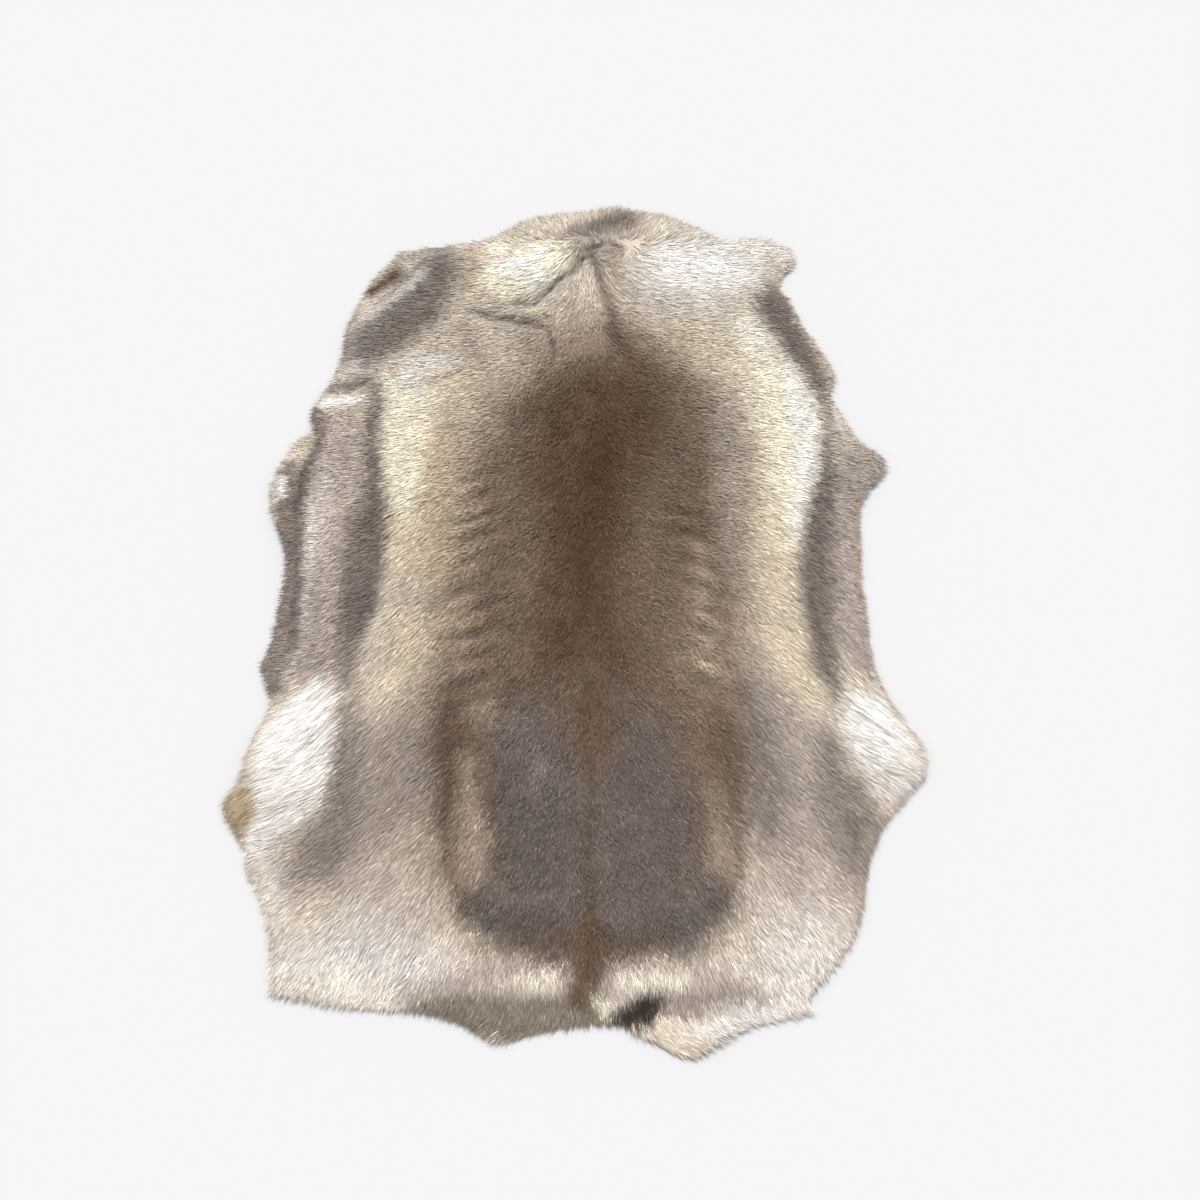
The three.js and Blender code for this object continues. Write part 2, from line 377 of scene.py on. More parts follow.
# Each marking is a stroke along a path of (x, y, half width), laid over those before:
# its colour, how wide its border fades, how strongly it covers, and the path. In all
# strokes, borders and paths are in millimetres.
MARKINGS = {
    "mantle": (FAWN, 90, 1.0,
        [(30, 285, 105), (10, 240, 190), (4, 150, 214), (2, 0, 228), (0, -150, 240), (0, -270, 258),
         (0, -330, 235)]),
    "left loins": (DRAB, 80, 0.95,
        [(-235, -230, 20), (-250, -280, 50), (-255, -330, 50), (-270, -380, 35)]),
    "right loins": (DUSK, 80, 0.95, [(230, -170, 22), (245, -240, 45), (255, -330, 60), (266, -410, 28)]),
    "right loin shade": (SMOKE, 60, 0.95,
        [(205, -190, 10), (218, -240, 30), (230, -300, 30), (236, -370, 18)]),
    "left loin shade": (TAUPE, 70, 0.75, [(-215, -240, 14), (-230, -320, 30)]),
    "brown back": (BROWN, 75, 1.0,
        [(68, 335, 22), (50, 292, 70), (40, 250, 126), (32, 190, 170), (16, 100, 192), (12, 0, 192),
         (6, -100, 194), (2, -200, 206), (4, -290, 200), (6, -350, 180)]),
    # Painted highlight where the hair swells over the right ribs.
    "right rib highlight": (FAWN, 60, 0.8, [(158, 30, 6), (160, -60, 10), (158, -150, 18)]),
    "right ribs": (UMBER, 70, 0.32, [(120, 250, 24), (140, 130, 34), (130, 30, 30)]),
    # Painted highlight where the hair swells over the left ribs.
    "left rib highlight": (FAWN, 60, 0.5, [(-175, 150, 4), (-165, 60, 4), (-165, -20, 8), (-175, -150, 10)]),
    "dark back": (DARK_BROWN, 85, 1.0,
        [(58, 380, 0), (66, 320, 14), (52, 268, 58), (16, 220, 96), (-6, 150, 84), (-6, 80, 70),
         (-4, 0, 58), (-4, -100, 70), (-6, -180, 80), (-2, -240, 50)]),
    "middle of the back": (COCOA, 50, 0.75,
        [(10, 300, 2), (26, 240, 10), (26, 170, 20), (8, 90, 26), (-12, 20, 16), (-6, -60, 6)]),
    "lower back": (HUSK, 80, 0.85, [(0, -265, 110), (0, -300, 150), (10, -340, 130)]),
    "left saddle": (LILAC_GREY, 70, 0.92,
        [(-85, -205, 12), (-80, -270, 50), (-60, -340, 64), (-55, -410, 64)]),
    "right saddle": (LILAC_GREY, 70, 0.88, [(75, -245, 30), (70, -330, 66), (70, -410, 70)]),
    "saddle rosette": (TAUPE, 60, 0.4, [(-82, -235, 14), (-70, -300, 10)]),
    "saddle middle": (LILAC_GREY, 60, 0.8, [(10, -330, 10), (6, -470, 18)]),
    "dark loins": (DARK_BROWN, 60, 0.5, [(8, -200, 20), (28, -260, 18)]),
    "saddle line": (DARK_BROWN, 34, 0.55, [(4, -200, 14), (6, -340, 6), (4, -490, 8)]),
    "saddle end": (LILAC_GREY, 50, 1.0,
        [(-136, -462, 21), (-108, -490, 32), (0, -502, 34), (125, -492, 36), (160, -460, 30)]),
    "saddle edge": (UMBER, 44, 0.8, [(-100, -502, 6), (-50, -506, 16), (0, -518, 17), (105, -508, 10)]),
    "left loin line": (UMBER, 44, 0.95,
        [(-186, -205, 18), (-182, -250, 24), (-184, -310, 17), (-184, -380, 7), (-178, -430, 8),
         (-152, -470, 5)]),
    "right loin line": (UMBER, 44, 0.8,
        [(180, -225, 12), (186, -270, 20), (196, -320, 14), (199, -380, 5), (192, -430, 4),
         (166, -470, 4)]),
    "loin top": (DRAB, 60, 0.6, [(-150, -208, 8), (-115, -232, 8)]),
    "left loin light": (FAWN, 44, 0.95,
        [(-156, -285, 4), (-154, -340, 8), (-147, -388, 16), (-140, -430, 8)]),
    "right loin light": (DRAB, 38, 0.5, [(160, -320, 5), (168, -370, 6), (164, -420, 5)]),
    "left gold band": (GOLD, 55, 1.0, [(-264, 220, 38), (-256, 140, 46), (-254, 70, 42), (-258, 10, 22)]),
    "left cream band": (CREAM, 50, 1.0,
        [(-280, 320, 10), (-277, 280, 40), (-279, 230, 38), (-272, 160, 26), (-266, 90, 14)]),
    "left honey band": (HONEY, 55, 0.9, [(-205, 240, 6), (-215, 170, 16), (-218, 90, 20), (-218, 0, 20)]),
    "left sand band": (GOLD, 55, 0.9, [(-256, -85, 16), (-249, -140, 23), (-272, -187, 12)]),
    "right gold band": (GOLD, 60, 1.0, [(262, 210, 26), (262, 120, 28), (264, 30, 24), (264, -50, 16)]),
    "right cream band": (CREAM, 55, 1.0,
        [(255, 400, 26), (268, 360, 40), (292, 300, 46), (308, 220, 46), (302, 150, 38), (292, 90, 26),
         (286, 30, 10)]),
    "right white band": (WHITE, 45, 0.95,
        [(306, 320, 8), (320, 250, 16), (318, 180, 14), (308, 100, 10), (300, 60, 2)]),
    "right honey band": (DRAB, 60, 0.95,
        [(205, 265, 13), (214, 190, 28), (213, 120, 24), (208, 40, 14), (204, -30, 4)]),
    "right sand band": (GOLD, 55, 0.9, [(270, -100, 18), (278, -150, 22), (295, -190, 12)]),
    "left belly": (ROSE, 30, 1.0, [(-370, 220, 36), (-372, 100, 40), (-374, 0, 42)]),
    "left lower belly": (DUSK, 40, 1.0, [(-374, -50, 42), (-374, -140, 38)]),
    "left inner belly": (ROSE, 30, 0.9, [(-356, 120, 8), (-358, 0, 9), (-350, -100, 11), (-346, -150, 14)]),
    "left belly light": (PALE_ROSE, 35, 0.7, [(-376, 150, 4), (-388, 95, 10), (-385, 30, 6)]),
    "left outer belly": (SMOKE, 20, 1.0,
        [(-440, 160, 14), (-434, 50, 22), (-426, -40, 18), (-430, -120, 22), (-428, -180, 16)]),
    "left outer light": (ROSE, 18, 0.4, [(-428, -85, 3), (-424, -150, 3)]),
    # Painted shade in the groove of the belly fold.
    "left belly groove": (SLATE, 20, 0.85,
        [(-402, 215, 5), (-410, 150, 7), (-417, 95, 7), (-411, 45, 4), (-405, -20, 3), (-405, -120, 2)]),
    # Painted highlight along the ridge of the belly fold.
    "left belly ridge": (PALE_ROSE, 16, 0.8, [(-396, 70, 3), (-394, -20, 3), (-394, -90, 2)]),
    "left flank stripe": (SMOKE, 34, 0.95,
        [(-322, 295, 6), (-322, 240, 8), (-320, 190, 10), (-316, 140, 14), (-316, 90, 20), (-319, 40, 23),
         (-322, -10, 25), (-325, -60, 23), (-328, -110, 17), (-332, -170, 8)]),
    "left stripe edge": (SLATE, 26, 0.85,
        [(-320, 290, 5), (-317, 190, 6), (-309, 110, 9), (-303, 40, 14), (-305, -40, 14), (-316, -100, 7)]),
    "right belly": (DUSK, 30, 1.0,
        [(410, 165, 40), (386, 100, 30), (378, 0, 32), (378, -100, 32), (380, -140, 20)]),
    "right belly light": (ROSE, 20, 0.7, [(366, 170, 3), (362, 0, 3), (358, -80, 3)]),
    "right belly edge": (FAWN, 14, 0.8, [(396, 120, 4), (390, 40, 4), (392, -100, 4)]),
    "right flank stripe": (SMOKE, 32, 1.0,
        [(276, 496, 6), (284, 455, 28), (302, 400, 32), (328, 350, 25), (350, 300, 13), (358, 265, 4),
         (358, 220, 6), (353, 180, 11), (348, 140, 16), (340, 90, 20), (332, 40, 24), (326, -10, 27),
         (325, -60, 26), (326, -110, 20), (330, -160, 13), (334, -200, 4)]),
    "right stripe edge": (SLATE, 32, 0.75,
        [(282, 455, 6), (292, 430, 14), (318, 370, 12), (346, 310, 3), (352, 250, 0), (345, 160, 4),
         (333, 100, 9), (322, 50, 11), (314, -10, 13), (311, -60, 12), (313, -120, 7), (320, -170, 1)]),
    "right armpit": (PALE_ROSE, 10, 0.9, [(368, 275, 3), (370, 225, 4)]),
    "left neck stripe": (DOVE, 35, 1.0,
        [(-240, 548, 18), (-248, 500, 28), (-270, 450, 34), (-312, 405, 36), (-345, 370, 30),
         (-350, 335, 12)]),
    "left neck stripe edge": (SMOKE, 40, 1.0,
        [(-222, 545, 8), (-230, 490, 20), (-258, 430, 28), (-307, 382, 28), (-335, 358, 14)]),
    "left neck side": (DRAB, 40, 0.7, [(-204, 555, 8), (-200, 490, 8)]),
    "left neck corner": (DUSK, 25, 0.95, [(-310, 525, 14), (-262, 545, 10)]),
    "left neck spot": (UMBER, 24, 1.0, [(-348, 470, 10), (-303, 498, 16)]),
    "left neck streak": (PALE_ROSE, 20, 0.85, [(-345, 418, 4), (-303, 452, 7), (-264, 498, 8)]),
    "left shoulder knob": (TAUPE, 25, 0.9, [(-375, 420, 10), (-385, 385, 14), (-372, 345, 10)]),
    "left armpit shade": (SMOKE, 20, 0.9, [(-395, 290, 4), (-342, 305, 11)]),
    "left armpit white": (WHITE, 18, 0.9, [(-396, 265, 8), (-356, 277, 8)]),
    "left armpit tuft": (PALE_ROSE, 18, 0.8, [(-356, 334, 6), (-350, 322, 5)]),
    "left elbow": (SMOKE, 16, 0.95, [(-412, 250, 12), (-402, 225, 8)]),
    "left edge light": (SAND, 20, 0.9, [(-437, 190, 12)]),
    "left edge white": (WHITE, 10, 0.9, [(-449, 132, 8), (-446, 108, 7)]),
    "left neck honey": (HONEY, 40, 0.8, [(-180, 545, 8), (-172, 475, 14)]),
    "left neck cream": (CREAM, 40, 1.0, [(-145, 555, 16), (-128, 500, 46), (-85, 530, 44)]),
    "left neck white": (WHITE, 50, 0.8, [(-125, 520, 18), (-90, 500, 22)]),
    "neck edge": (SAND, 30, 0.9, [(-115, 595, 12), (-30, 620, 14), (120, 615, 10)]),
    "nape shade": (DRAB, 30, 0.9, [(-80, 573, 4), (-20, 578, 8)]),
    "dark nape": (SMOKE, 50, 1.0, [(-25, 588, 10), (20, 600, 22), (60, 612, 24)]),
    "nape black": (SLATE, 30, 0.8, [(-30, 590, 3), (20, 608, 8), (62, 622, 12)]),
    "nape tongue": (TAUPE, 30, 0.8, [(-20, 575, 8), (12, 548, 8)]),
    "neck line": (UMBER, 28, 0.85, [(5, 556, 3), (12, 520, 5), (21, 472, 6), (35, 428, 8), (46, 370, 10)]),
    "nape whorl": (TAUPE, 44, 0.75, [(-10, 530, 10), (35, 535, 18)]),
    "right nape shade": (FAWN, 40, 0.9, [(44, 530, 10), (48, 475, 10)]),
    # Painted shade along the parting of the whorl, partly the dark foot of the parted hair.
    "neck whorl": (SLATE, 18, 0.9, [(-14, 545, 2), (4, 556, 3), (30, 560, 3), (56, 548, 2)]),
    "neck whorl foot": (SLATE, 16, 0.8, [(3, 556, 2), (8, 520, 3), (14, 490, 1)]),
    "right neck white": (PINK_WHITE, 60, 1.0, [(96, 505, 22), (140, 512, 58), (220, 518, 54)]),
    "right neck gleam": (WHITE, 50, 1.0, [(130, 530, 14), (220, 515, 20)]),
    "right neck cream": (PALE_ROSE, 70, 0.7, [(85, 448, 8), (190, 440, 20)]),
    "right shoulder sand": (GOLD, 80, 0.75, [(150, 385, 20), (200, 335, 18)]),
    "right shoulder rose": (PALE_ROSE, 50, 0.6, [(245, 400, 20), (270, 360, 20)]),
    "neck tab": (PALE_ROSE, 30, 0.9, [(270, 570, 12), (310, 545, 18)]),
    "left shoulder": (SAND, 60, 0.9, [(-130, 385, 16), (-130, 325, 30)]),
    "withers light": (SAND, 60, 0.7, [(-60, 440, 14), (0, 425, 10)]),
    # Painted shade in two dips of the skin at the withers.
    "withers dips": (DRAB, 45, 0.9, [(-194, 398, 8), (-170, 346, 11)]),
    # Painted highlight on the swell of the left shoulder.
    "left shoulder highlight": (WHITE, 36, 0.75, [(-272, 305, 12), (-256, 340, 8), (-218, 332, 9)]),
    "left blade light": (GOLD, 50, 0.9, [(-230, 298, 12), (-184, 302, 11), (-190, 262, 10)]),
    "left grey thigh": (TAUPE, 60, 1.0,
        [(-322, -215, 8), (-320, -290, 22), (-322, -350, 36), (-335, -400, 44), (-370, -425, 22)]),
    "left thigh dark": (SMOKE, 55, 0.85, [(-314, -262, 13), (-310, -310, 16), (-320, -380, 8)]),
    "left thigh low": (PALE_ROSE, 50, 0.7, [(-405, -430, 10), (-395, -470, 14)]),
    "left rump side": (ROSE, 70, 0.85, [(-290, -440, 20), (-215, -470, 26)]),
    "right rump side": (ROSE, 70, 0.95, [(330, -455, 30), (235, -450, 30), (220, -490, 12)]),
    "right grey thigh": (TAUPE, 50, 1.0,
        [(318, -245, 12), (328, -330, 32), (336, -380, 38), (342, -420, 22)]),
    "right thigh rim": (SMOKE, 30, 0.8,
        [(356, -310, 6), (370, -380, 12), (368, -430, 14), (352, -500, 10)]),
    "right thigh edge": (SLATE, 30, 0.8, [(346, -365, 6), (347, -400, 6)]),
    "left lower pale": (PALE_ROSE, 90, 1.0, [(-370, -540, 30), (-280, -537, 55), (-200, -545, 27)]),
    "left lower cream": (CREAM, 60, 0.5, [(-360, -560, 14), (-260, -565, 12)]),
    "right lower pale": (PALE_ROSE, 90, 0.85, [(290, -490, 18), (265, -528, 47), (230, -550, 25)]),
    "left white haunch": (PINK_WHITE, 24, 1.0,
        [(-366, -192, 26), (-386, -250, 50), (-396, -310, 48), (-402, -350, 32), (-430, -385, 14)]),
    "left haunch white": (WHITE, 40, 0.7, [(-380, -215, 14), (-400, -270, 20)]),
    "left haunch blush": (PALE_ROSE, 40, 0.85, [(-362, -338, 14), (-405, -340, 16), (-425, -400, 14)]),
    "right white haunch": (PINK_WHITE, 26, 1.0, [(362, -200, 14), (378, -232, 38), (392, -264, 36)]),
    "right haunch white": (WHITE, 40, 0.8, [(378, -200, 10), (398, -245, 20)]),
    "right haunch tip": (PALE_ROSE, 30, 0.9,
        [(430, -215, 2), (448, -270, 8), (436, -310, 16), (388, -318, 14)]),
    "bare patch": (OCHRE, 14, 0.9, [(-452, -342, 27), (-459, -370, 19)]),
    "bare patch shade": (BROWN, 30, 0.5, [(-458, -380, 4), (-438, -352, 3)]),
    "thigh nub": (CREAM, 10, 0.9, [(-428, -443, 6), (-412, -455, 5)]),
    "rump": (DUSK, 36, 0.95,
        [(-220, -575, 12), (-120, -562, 20), (0, -562, 20), (130, -562, 20), (200, -570, 10)]),
    "rump gap": (TAUPE, 28, 0.9, [(-96, -545, 6)]),
    "left rump patch": (CREAM, 24, 0.65, [(-95, -557, 2), (-70, -553, 6), (-42, -553, 6)]),
    "right rump patch": (CREAM, 26, 0.62, [(46, -561, 6), (75, -561, 7), (115, -560, 6)]),
    "strip under the tail": (MOUSE, 18, 1.0,
        [(-210, -596, 13), (-130, -600, 25), (-40, -601, 28), (20, -609, 22)]),
    "strip above the flap": (TAUPE, 16, 1.0, [(98, -588, 15), (160, -582, 11), (235, -578, 6)]),
    "tail": (UMBER, 28, 1.0, [(4, -475, 8), (6, -528, 30), (5, -550, 22), (-8, -576, 19)]),
    "tail middle": (COCOA, 30, 0.5, [(6, -505, 4), (4, -550, 8)]),
    "tail fringe": (STRAW, 16, 0.75, [(14, -584, 3), (30, -593, 10), (38, -604, 5)]),
    "hind flap": (SAND, 14, 1.0, [(80, -612, 14), (125, -628, 22)]),
    "hind flap white": (PALE_ROSE, 30, 1.0,
        [(140, -618, 10), (165, -612, 18), (210, -600, 18), (277, -585, 14)]),
    "black tuft": (BLACK_BROWN, 18, 1.0, [(36, -608, 8), (52, -600, 15), (74, -588, 19), (92, -577, 6)]),
    # Painted shade in the nape crease, partly the dark foot of the parted hair.
    "nape crease": (SLATE, 15, 0.95,
        [(-4, 536, 2), (-26, 516, 3), (-50, 491, 3), (-66, 470, 4), (-84, 453, 4), (-118, 445, 2)]),
    # Painted highlight on the lip of the fold beside the nape crease.
    "nape rim": (CREAM, 14, 0.9, [(-98, 434, 4), (-66, 440, 3)]),
    # Painted shade in the withers crease and its end, partly the dark foot of the parted hair.
    "withers crease": (TAUPE, 20, 0.95,
        [(-182, 434, 3), (-150, 421, 5), (-120, 416, 6), (-100, 409, 4), (-60, 401, 3)]),
    "withers crease end": (TAUPE, 14, 0.9, [(-58, 400, 2), (-53, 370, 3), (-50, 347, 2)]),
    "dorsal line": (DARK_BROWN, 16, 0.35, [(-4, 50, 3), (-2, -250, 2), (2, -500, 5)]),
}

# Creases, where the hair parts over a fold of the skin: how much of the hair's length and
# height goes there, the border, and the path. CREASE_DARK darkens the coat in them: painted
# shade of the fold, and partly the hair's dark foot that shows there.
CREASES = {
    "nape": (1.0, 16,
        [(-4, 536, 1), (-26, 516, 2), (-50, 491, 2), (-66, 470, 3), (-84, 453, 3), (-118, 445, 1)]),
    "whorl": (0.8, 20, [(-14, 545, 1), (4, 556, 2), (30, 560, 2), (56, 548, 1)]),
    "neck": (0.35, 22, [(5, 556, 1), (12, 520, 3), (21, 472, 3)]),
    "withers": (0.9, 16, [(-182, 434, 1), (-150, 421, 3), (-120, 416, 3), (-100, 409, 2), (-60, 401, 2)]),
    "withers end": (0.8, 14, [(-58, 400, 1), (-53, 370, 2), (-50, 347, 1)]),
    "shoulder": (0.7, 20, [(-280, 292, 1), (-240, 300, 1), (-198, 320, 1)]),
    "left armpit": (0.9, 26, [(-385, 300, 1), (-352, 296, 1), (-330, 310, 1)]),
    "left belly": (1.0, 24,
        [(-402, 215, 2), (-410, 150, 4), (-417, 95, 3), (-411, 45, 2), (-405, -20, 1), (-405, -125, 1)]),
    "left neck": (0.8, 22, [(-330, 440, 1), (-290, 480, 1), (-262, 520, 1)]),
    "left haunch": (0.6, 16, [(-347, -235, 1), (-395, -285, 1), (-436, -315, 1)]),
    "left upper haunch": (0.4, 14, [(-360, -205, 1), (-400, -232, 1), (-440, -262, 1)]),
    "right haunch": (0.6, 14, [(370, -222, 1), (412, -258, 1), (445, -278, 1)]),
    "right lower haunch": (0.5, 14, [(380, -285, 1), (412, -305, 1), (436, -318, 1)]),
    "upper rib": (0.15, 50, [(-192, 72, 1), (-150, 60, 2), (-105, 84, 1)]),
    "rib": (0.38, 50, [(-200, -48, 2), (-155, -26, 3), (-100, 2, 3), (-80, 3, 1)]),
    "short rib": (0.32, 40, [(-175, -110, 3), (-145, -108, 2)]),
    "inner rib": (0.30, 36, [(-98, -94, 2), (-100, -128, 3)]),
    "lower rib": (0.45, 38, [(-190, -184, 2), (-160, -178, 3), (-130, -164, 3), (-96, -142, 2)]),
    "blade": (0.20, 45, [(-165, 137, 1), (-120, 147, 1)]),
    "right rib": (0.30, 50, [(182, -70, 3), (187, -30, 3), (190, 8, 1)]),
    "right blade": (0.20, 40, [(178, 60, 1), (183, 90, 1)]),
}
# Painted shade in the creases.
CREASE_DARK = 0.62

# Swells, where the hair stands proud between the creases and catches the light: how strong,
# the border, and the path. SWELL_LIGHT paints that light into the colour as a highlight.
SWELLS = {
    "upper rib": (0.8, 50, [(-185, 15, 4), (-125, 34, 4)]),
    "rib": (1.0, 44, [(-165, -78, 4), (-140, -76, 4)]),
    "back rib": (0.9, 44, [(-136, -120, 4), (-148, -148, 5)]),
    "outer rib": (1.0, 44, [(-196, -85, 5), (-168, -68, 4)]),
    "lower rib": (0.5, 44, [(-190, -145, 3), (-115, -125, 3)]),
    "left loin": (0.9, 40, [(-155, -215, 4), (-130, -205, 4)]),
    "right rib": (0.5, 44, [(158, -10, 3), (155, -50, 3), (140, -90, 4)]),
    "right loin": (1.0, 55, [(145, -120, 6), (158, -160, 8)]),
    "right blade": (0.5, 40, [(185, 135, 3), (170, 40, 3)]),
    "left belly": (0.7, 26, [(-394, 80, 2), (-392, -130, 2)]),
    "shoulder": (0.6, 28, [(-250, 314, 3), (-212, 322, 3)]),
    "nape": (0.6, 30, [(-40, 535, 4), (-90, 480, 6)]),
    "withers": (0.5, 30, [(-140, 455, 6), (-80, 425, 4)]),
}
SWELL_LIGHT = 0.32
SWELL_RISE = 0.34

# The hair also swells over each rib, in waves that run back and outwards on both sides.
# RIB_LIGHT paints a highlight on each wave and shade between them.
RIB_PITCH = 0.033
RIB_START = 0.008
RIB_TURN = math.radians(19)
RIBS_OVER = {
    "left": (1.0, 90, [(-160, 120, 12), (-160, -190, 20)]),
    "right": (0.8, 90, [(130, 90, 10), (160, -20, 16), (158, -170, 16)]),
}
RIB_LIGHT = 0.42
RIB_RISE = 0.26

# Mottles, each with its strength, the size of its patches and its seed. They move the
# borders of strokes, warp the ribs and break them into lumps, and vary colour and depth.
LATTICE = 512
WOBBLE_X, FINE_WOBBLE_X = (0.005, 0.030, 1), (0.003, 0.010, 2)
WOBBLE_Y, FINE_WOBBLE_Y = (0.005, 0.030, 3), (0.003, 0.010, 4)
RIB_WARP, FINE_RIB_WARP = (0.006, 0.05, 8), (0.003, 0.02, 9)
RIB_LUMPS = (0.7, 0.026, 13)
COLOUR_MOTTLE, FINE_COLOUR_MOTTLE = (0.07, 0.045, 5), (0.08, 0.014, 6)
DEPTH_MOTTLE = (0.09, 0.028, 10)

# The least depth of the coat, and the share of it that goes in the deepest crease.
LEAST_DEPTH = 0.002
CREASE_DROP = 0.6

# The hair is darker in itself than the coat looks in full light, and less warm, because
# the light grows warmer between the hairs.
HAIR_SHARE = (0.71, 0.72, 0.735)

# Along the margin the coat is darker: painted shade at its edge, and partly the thin hair
# there letting its dark feet through.
RIM_DARK = 0.30
RIM_WIDTH = 0.006


def stroke_cover(x, y, path, fade):
    """How much a stroke covers each place, from 0 to 1: the distance to the path less
    its half width there, eased from full cover to none over the fade."""
    path, fade = np.array(path) / 1000, fade / 1000
    ends = path[1:] if len(path) > 1 else path
    outside = np.full(x.shape, np.inf)
    for start, end in zip(path, ends):
        along = end[:2] - start[:2]
        share = (x - start[0]) * along[0] + (y - start[1]) * along[1]
        share = np.clip(share / max(along @ along, 1e-12), 0.0, 1.0)
        far = np.hypot(x - start[0] - share * along[0], y - start[1] - share * along[1])
        outside = np.minimum(outside, far - start[2] - share * (end[2] - start[2]))
    inner = np.clip(0.5 - outside / fade, 0.0, 1.0)
    return inner * inner * (3 - 2 * inner)


def deepest(x, y, strokes):
    """The strongest of the strokes' covers at each place, from 0 to 1, each times its
    own share."""
    most = np.zeros(x.shape)
    for share, fade, path in strokes.values():
        most = np.maximum(most, share * stroke_cover(x, y, path, fade))
    return most


def ribs(x, y):
    """The swell over the ribs, from -1 between two to 1 on one: a cosine of how far
    back and outwards the place is, warped and broken into lumps by mottles, and
    faded at its borders."""
    along = y * math.cos(RIB_TURN) + np.abs(x) * math.sin(RIB_TURN) - RIB_START
    warped = along + mottle(x, y, *RIB_WARP) + mottle(x, y, *FINE_RIB_WARP)
    lumps = 1 + mottle(x, y, *RIB_LUMPS)
    return deepest(x, y, RIBS_OVER) * lumps * np.cos(2 * np.pi * warped / RIB_PITCH)


def as_light(colour):
    """A colour of 0 to 255 as the eye sees it, as amounts of light from 0 to 1, by the
    screen's own curve: straight near black, and a power of 2.4 above."""
    share = np.asarray(colour, float) / 255
    return np.where(share <= 0.04045, share / 12.92, ((share + 0.055) / 1.055) ** 2.4)


def mottle(x, y, strength, size, seed):
    """Smooth random numbers from minus to plus the strength: random numbers on a
    lattice size apart, blended across its squares with eased weights."""
    lattice = np.random.default_rng(seed).uniform(-1, 1, (LATTICE, LATTICE))
    column, row = x / size + LATTICE // 2, y / size + LATTICE // 2
    left, near = np.floor(column).astype(int), np.floor(row).astype(int)
    across, along = column - left, row - near
    across, along = (t * t * (3 - 2 * t) for t in (across, along))
    left, near = left % (LATTICE - 1), near % (LATTICE - 1)
    return strength * blended(lattice, left, near, across, along)


def wobbled(x, y):
    """The places moved a little by two mottles each way, so that no border runs smooth."""
    moved_x = x + mottle(x, y, *WOBBLE_X) + mottle(x, y, *FINE_WOBBLE_X)
    moved_y = y + mottle(x, y, *WOBBLE_Y) + mottle(x, y, *FINE_WOBBLE_Y)
    return moved_x, moved_y


def coat_colour(x, y):
    """The colour of the hair at each place, as amounts of light: sand with the
    markings laid over it in turn, mottled."""
    x_moved, y_moved = wobbled(x, y)
    colour = np.tile(as_light(SAND), (len(x), 1))
    for marking, fade, strength, path in MARKINGS.values():
        cover = strength * stroke_cover(x_moved, y_moved, path, fade)[:, None]
        colour = colour * (1 - cover) + as_light(marking) * cover
    shade = 1 + mottle(x, y, *COLOUR_MOTTLE) + mottle(x, y, *FINE_COLOUR_MOTTLE)
    return np.array(HAIR_SHARE) * colour * shade[:, None]


def coat_shade(x, y):
    """How light the coat looks at each place beside its own colour: painted shade, darker in
    the creases and along the margin, and painted highlight, lighter on the swells and over
    the ribs."""
    x_moved, y_moved = wobbled(x, y)
    shade = 1 - CREASE_DARK * deepest(x_moved, y_moved, CREASES)
    shade *= 1 + SWELL_LIGHT * deepest(x_moved, y_moved, SWELLS)
    shade *= 1 + RIB_LIGHT * ribs(x, y)
    return shade * (1 - RIM_DARK * np.exp(-np.maximum(read_net(inset_net, x, y), 0.0) / RIM_WIDTH))


def on_leather(x, y):
    """The height of the leather's top: the flesh side's height and its thickness."""
    return read_net(under_net, x, y) + LEATHER


def coat_depth(x, y):
    """How deep the coat is at each place, from the leather to the tips: the solid hide's
    own depth, mottled, with more on the swells and ribs and less in the creases."""
    depth = np.maximum(read_net(top_net, x, y) - on_leather(x, y), LEAST_DEPTH)
    swell = 1 + mottle(x, y, *DEPTH_MOTTLE) + RIB_RISE * ribs(x, y)
    swell += SWELL_RISE * deepest(x, y, SWELLS)
    return depth * swell * (1 - CREASE_DROP * deepest(x, y, CREASES))


def dye_and_shade(obj, colours):
    """Gives each point of the object's mesh its colour, full in alpha: the coat's colour with
    its painted shade and highlights in it.
    """
    layer = obj.data.color_attributes.new("coat", "FLOAT_COLOR", "POINT")
    full = np.ones((len(colours), 4))
    full[:, :3] = colours
    layer.data.foreach_set("color", full.ravel())


# ---- The underwool ----------------------------------------------------------------------
# The dense fine wool at the foot of the hair, felted into a soft mass that fills about
# two thirds of the coat's depth and closes it between the longer hairs.

WOOL_PITCH = 0.007
WOOL_DEPTH = 0.70
WOOL_SHADE = 0.90
WOOL_MOTTLE = (0.10, 0.012, 7)

wool_x, wool_y, wool_faces, wool_rim = trimmed_net(WOOL_PITCH, LEATHER_BACK)
wool_depth = WOOL_DEPTH * coat_depth(wool_x, wool_y)
wool_depth *= 1 + mottle(wool_x, wool_y, *WOOL_MOTTLE)
wool_height = on_leather(wool_x, wool_y) + np.where(wool_rim, 0.0, np.maximum(wool_depth, 0.0))
wool = mesh_object("underwool", np.column_stack([wool_x, wool_y, wool_height]), wool_faces)
# The wool carries the coat's painted shade and highlights, and WOOL_SHADE darkens it as painted shade deep
# in the coat.
wool_shade = WOOL_SHADE * coat_shade(wool_x, wool_y)
dye_and_shade(wool, wool_shade[:, None] * coat_colour(wool_x, wool_y))

